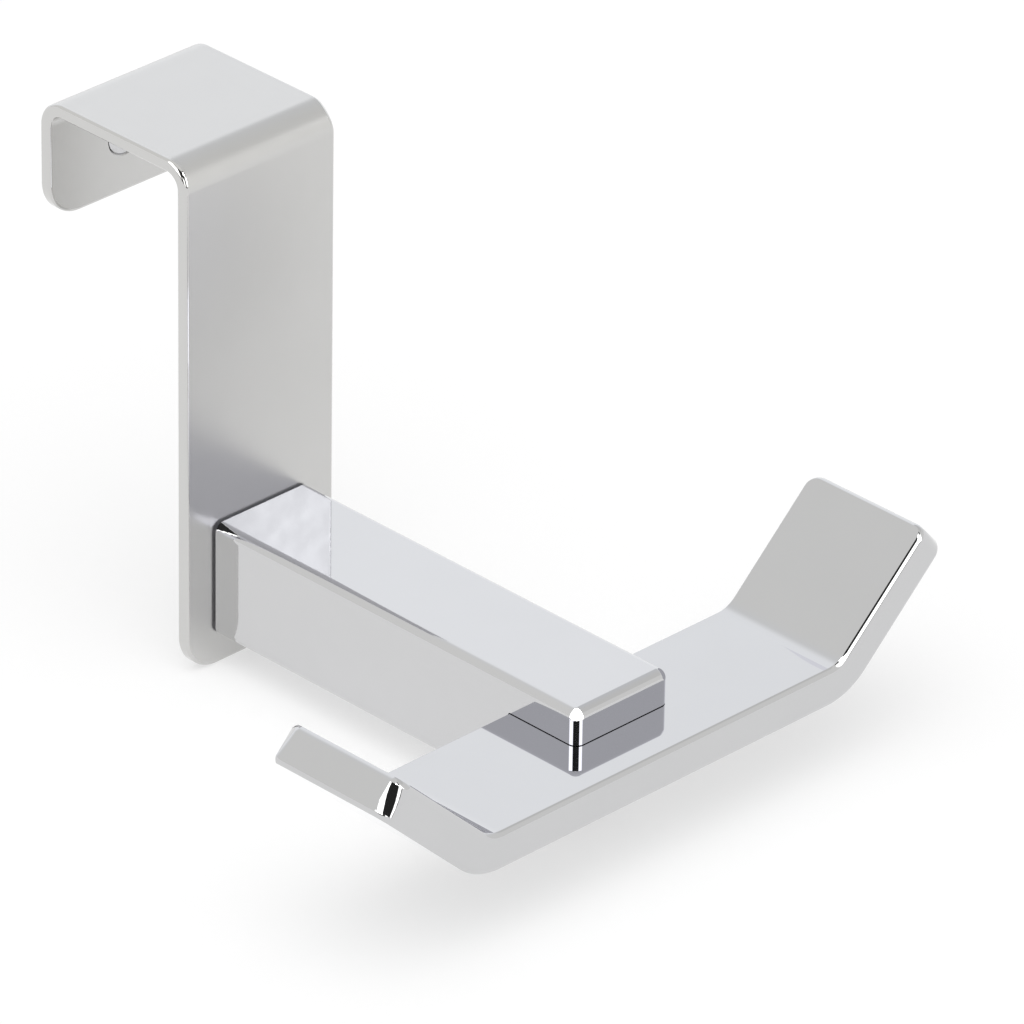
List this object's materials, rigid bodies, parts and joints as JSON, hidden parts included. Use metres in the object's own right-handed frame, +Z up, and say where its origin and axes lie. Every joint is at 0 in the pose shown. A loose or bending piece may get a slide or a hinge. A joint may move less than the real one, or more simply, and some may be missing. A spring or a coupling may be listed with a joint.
{
  "type": "wardrobe hook",
  "caption": "Over-door wardrobe hook: a folded chrome strap seats on the door top and carries a square arm with an upturned cross bar that holds hangers and coats.",
  "frame": {"origin": "centre of the bridge's underside, where the strap seats on the door's top edge", "axes": "+Z up, -Y out from the door's front along the arm, +Y towards the return lip behind the door, X across the strap's width"},
  "size_m": [0.0956, 0.1018, 0.0715],
  "materials": {
    "strap_chrome": "polished, very slightly soft reflections",
    "arm_chrome": "mirror polished",
    "plate_chrome": "mirror polished",
    "screw_steel": "turned steel"
  },
  "bodies": {
    "root": {"door_strap": "strap_chrome", "clamp_screw": "screw_steel", "arm": "arm_chrome", "arm_screw_1": "screw_steel", "arm_screw_2": "screw_steel", "hook_plate": "plate_chrome", "plate_screw": "screw_steel"}
  },
  "joints": []
}
